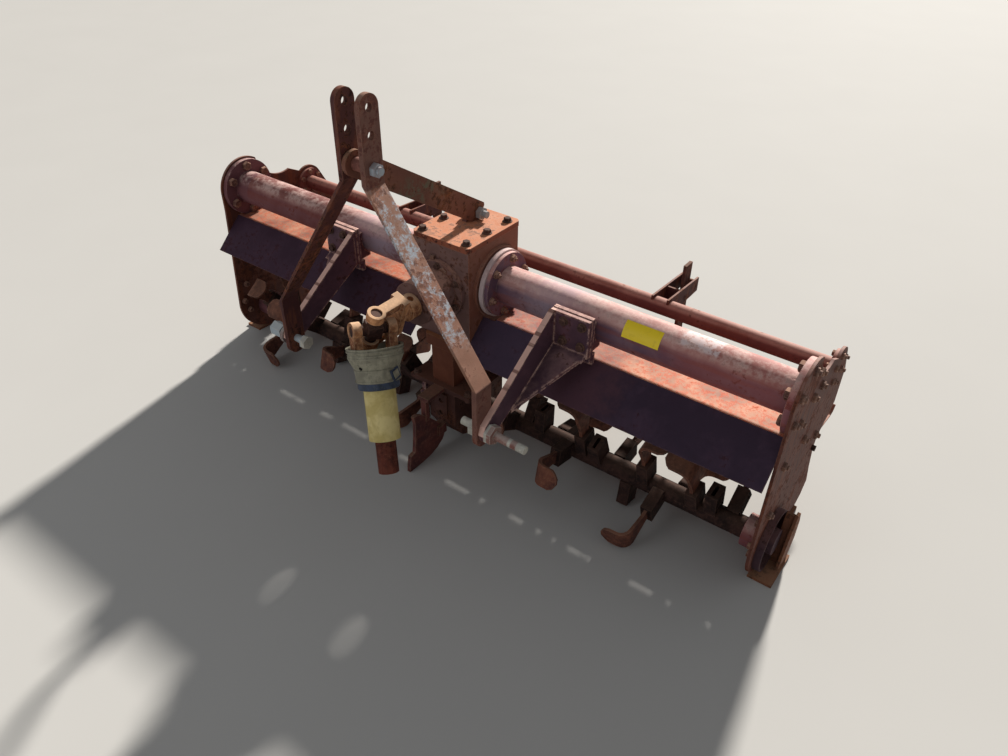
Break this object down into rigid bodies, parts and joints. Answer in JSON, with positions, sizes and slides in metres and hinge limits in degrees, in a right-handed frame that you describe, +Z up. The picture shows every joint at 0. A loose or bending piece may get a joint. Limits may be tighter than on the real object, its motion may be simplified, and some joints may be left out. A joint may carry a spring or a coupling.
{
  "type": "rotary tiller",
  "caption": "Tractor-mounted rotary tiller: hitch mast, centre gearbox with drive leg, tubular beam, hood, rear shield, side plates on skids and a bladed rotor.",
  "frame": {"origin": "centre of the bounding box at floor level, under the machine", "axes": "+X across the machine, to the right as seen from the tractor side looking at the machine; +Y rearwards, away from the tractor; +Z up"},
  "size_m": [2.086, 1.0331, 1.1519],
  "materials": {
    "worn_red_paint": "faded red-brown paint with rust",
    "rusty_steel": "brown rust",
    "cast_housing": "rough cast surface, faded paint",
    "bare_steel": "worn bare metal",
    "dark_steel": "greasy dark metal",
    "yellow_guard": "weathered yellow plastic"
  },
  "bodies": {
    "frame": {"main_beam_left": "worn_red_paint", "main_beam_right": "worn_red_paint", "rear_tube": "worn_red_paint", "side_plate_left": "worn_red_paint", "side_plate_right": "worn_red_paint", "hood_front_left": "worn_red_paint", "hood_front_right": "worn_red_paint", "hood_rear": "worn_red_paint", "beam_pad_left": "worn_red_paint", "beam_pad_right": "worn_red_paint", "hitch_arm_left": "worn_red_paint", "hitch_arm_right": "worn_red_paint", "mast_bar_left": "worn_red_paint", "mast_bar_right": "worn_red_paint", "rear_brace": "worn_red_paint", "brace_lug": "worn_red_paint", "shield_bracket_left": "worn_red_paint", "shield_bracket_right": "worn_red_paint", "bearing_guard_left": "worn_red_paint", "bearing_guard_right": "worn_red_paint", "skid_left": "worn_red_paint", "skid_right": "worn_red_paint", "hinge_brackets": "worn_red_paint", "drive_leg": "worn_red_paint", "gearbox_housing": "cast_housing", "gearbox_cover": "cast_housing", "input_housing": "cast_housing", "lower_case": "cast_housing", "bearing_left": "cast_housing", "bearing_right": "cast_housing", "centre_share": "rusty_steel", "shield_hinge_rod": "rusty_steel", "lower_pin_left": "bare_steel", "lower_pin_right": "bare_steel", "mast_bolt": "bare_steel", "input_yoke": "dark_steel"},
    "rotor": {"rotor_shaft": "rusty_steel", "tine_holders_left": "rusty_steel", "tine_holders_right": "rusty_steel", "tines_left": "rusty_steel", "tines_right": "rusty_steel"},
    "shield": {"rear_shield": "worn_red_paint"},
    "strap_left": {"shield_strap_left": "rusty_steel"},
    "strap_right": {"shield_strap_right": "rusty_steel"},
    "joint_cross": {"joint_cross": "dark_steel"},
    "drive_shaft": {"profile_tube": "rusty_steel", "shaft_yoke": "dark_steel", "guard_ring": "dark_steel", "guard_cone": "yellow_guard", "guard_tube": "yellow_guard"}
  },
  "joints": [
    {"name": "rotor_turn", "type": "hinge", "parent": "frame", "child": "rotor", "pos_m": [0, 0.00855, 0.1], "axis": [1, 0, 0], "continuous": true},
    {"name": "shield_lift", "type": "hinge", "parent": "frame", "child": "shield", "pos_m": [0, 0.25355, 0.242], "axis": [1, 0, 0], "range_deg": [0, 30]},
    {"name": "strap_left_swing", "type": "hinge", "parent": "shield", "child": "strap_left", "pos_m": [-0.482, 0.42855, 0.242], "axis": [1, 0, 0], "range_deg": [-30, 0]},
    {"name": "strap_right_swing", "type": "hinge", "parent": "shield", "child": "strap_right", "pos_m": [0.482, 0.42855, 0.242], "axis": [1, 0, 0], "range_deg": [-30, 0]},
    {"name": "cross_turn", "type": "hinge", "parent": "frame", "child": "joint_cross", "pos_m": [0, -0.38145, 0.558], "axis": [0.342, 0, 0.9397], "range_deg": [-65, 0]},
    {"name": "shaft_swing", "type": "hinge", "parent": "joint_cross", "child": "drive_shaft", "pos_m": [0, -0.38145, 0.558], "axis": [-0.3971, -0.9063, 0.1445], "range_deg": [0, 60]}
  ],
  "couplings": [
    {"joint": "strap_left_swing", "follows": "shield_lift", "ratio": -1},
    {"joint": "strap_right_swing", "follows": "shield_lift", "ratio": -1}
  ]
}
